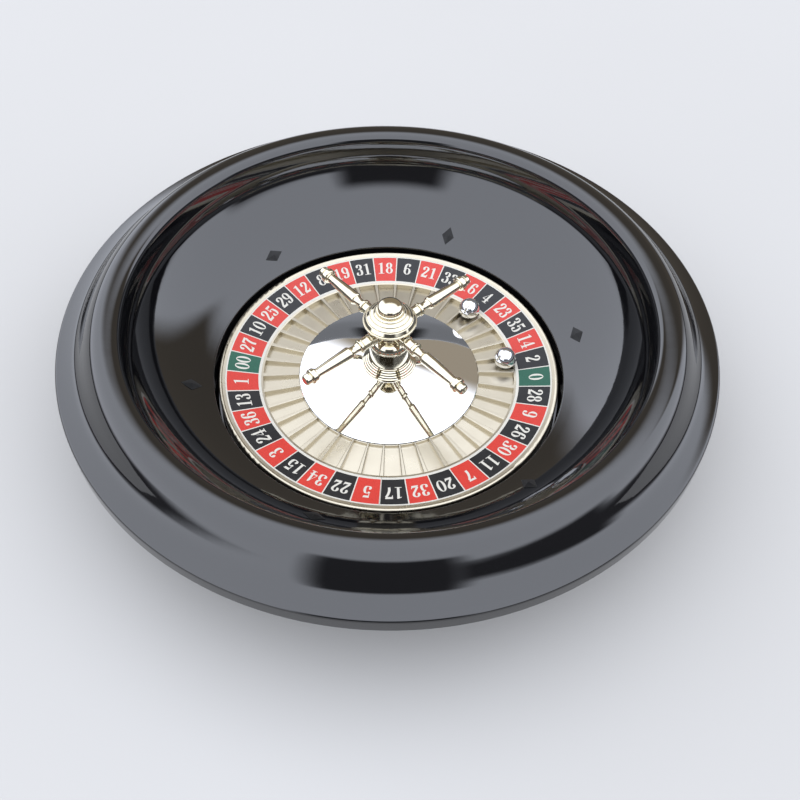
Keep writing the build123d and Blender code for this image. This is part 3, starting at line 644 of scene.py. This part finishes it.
def studio_light():
    """A wide soft sky of light, with darker screens standing beyond the table on three sides."""
    world = bpy.data.worlds.new("studio")
    bpy.context.scene.world = world
    world.use_nodes = True
    tree = world.node_tree
    link = tree.links.new
    background = tree.nodes["Background"]
    direction = tree.nodes.new("ShaderNodeTexCoord").outputs["Generated"]
    parts = tree.nodes.new("ShaderNodeSeparateXYZ")
    link(direction, parts.inputs[0])
    level = tree.nodes.new("ShaderNodeVectorMath")
    level.operation = "MULTIPLY"
    level.inputs[1].default_value = (1, 1, 0)
    link(direction, level.inputs[0])
    bearing = tree.nodes.new("ShaderNodeVectorMath")
    bearing.operation = "NORMALIZE"
    link(level.outputs["Vector"], bearing.inputs[0])

    def soft_step(source, start, end):
        """0 where source is before start, 1 where it is past end."""
        edge = tree.nodes.new("ShaderNodeMapRange")
        edge.interpolation_type = "SMOOTHSTEP"
        edge.inputs["From Min"].default_value = start
        edge.inputs["From Max"].default_value = end
        link(source, edge.inputs["Value"])
        return edge.outputs["Result"]

    def below(top, blur):
        """1 below this elevation in degrees, 0 above it."""
        low, high = (math.sin(math.radians(top + side)) for side in (-blur, blur))
        return soft_step(parts.outputs[2], high, low)

    def screen(azimuth, half_width, top, blur=6):
        """1 on an upright screen round this azimuth, up to this elevation, all in degrees."""
        turn = math.radians(azimuth)
        dot = tree.nodes.new("ShaderNodeVectorMath")
        dot.operation = "DOT_PRODUCT"
        dot.inputs[1].default_value = (math.cos(turn), math.sin(turn), 0)
        link(bearing.outputs["Vector"], dot.inputs[0])
        wide, narrow = (math.cos(math.radians(half_width + side)) for side in (blur, -blur))
        both = tree.nodes.new("ShaderNodeMath")
        both.operation = "MULTIPLY"
        link(soft_step(dot.outputs["Value"], wide, narrow), both.inputs[0])
        link(below(top, blur), both.inputs[1])
        return both.outputs[0]

    def over(share, under, color):
        mix = tree.nodes.new("ShaderNodeMix")
        mix.data_type = "RGBA"
        link(share, mix.inputs["Factor"])
        first, second = [s for s in mix.inputs if s.type == "RGBA"]
        if isinstance(under, tuple):
            first.default_value = (*under, 1)
        else:
            link(under, first)
        second.default_value = (*color, 1)
        return [s for s in mix.outputs if s.type == "RGBA"][0]

    sky, warm, dark = (2.1, 2.2, 2.45), (0.33, 0.285, 0.225), (0.10, 0.10, 0.11)
    room = over(screen(75, 37, 48), sky, warm)
    room = over(screen(-90, 23, 38), room, dark)
    room = over(screen(-45, 25, 17), room, dark)
    room = over(below(5, 4), room, dark)
    link(room, background.inputs["Color"])
    # the backdrop that the camera itself sees is plain and pale
    pale = tree.nodes.new("ShaderNodeBackground")
    pale.inputs["Color"].default_value = (0.85, 0.85, 0.85, 1)
    pick = tree.nodes.new("ShaderNodeMixShader")
    link(tree.nodes.new("ShaderNodeLightPath").outputs["Is Camera Ray"], pick.inputs["Fac"])
    link(background.outputs[0], pick.inputs[1])
    link(pale.outputs[0], pick.inputs[2])
    link(pick.outputs[0], tree.nodes["World Output"].inputs["Surface"])


def camera():
    """Looks down at the wheel from the front, at the height and turn of the picture."""
    distance, height = 2.0184 * RIM_RADIUS, 2.4810 * RIM_RADIUS
    pan, tilt, roll = math.radians(-0.77), math.radians(51.16), math.radians(0.90)
    sensor, framing = 36, 1.1875        # framing: focal length in picture widths
    data = bpy.data.cameras.new("camera")
    data.sensor_width = sensor
    data.lens = framing * sensor
    data.shift_x = -0.00175
    data.clip_start = 0.01
    piece = bpy.data.objects.new("camera", data)
    bpy.context.scene.collection.objects.link(piece)
    right = Vector((1, 0, 0))
    ahead = Vector((0, math.cos(tilt), -math.sin(tilt)))
    up = Vector((0, math.sin(tilt), math.cos(tilt)))
    panned_right = math.cos(pan) * right + math.sin(pan) * ahead
    panned_ahead = -math.sin(pan) * right + math.cos(pan) * ahead
    rolled_right = math.cos(roll) * panned_right + math.sin(roll) * up
    rolled_up = -math.sin(roll) * panned_right + math.cos(roll) * up
    axes = Matrix((rolled_right, rolled_up, -panned_ahead)).transposed()
    piece.matrix_world = Matrix.Translation((0, -distance, height)) @ axes.to_4x4()
    bpy.context.scene.camera = piece


floor()
studio_light()
camera()
bpy.context.scene.view_settings.view_transform = "Standard"
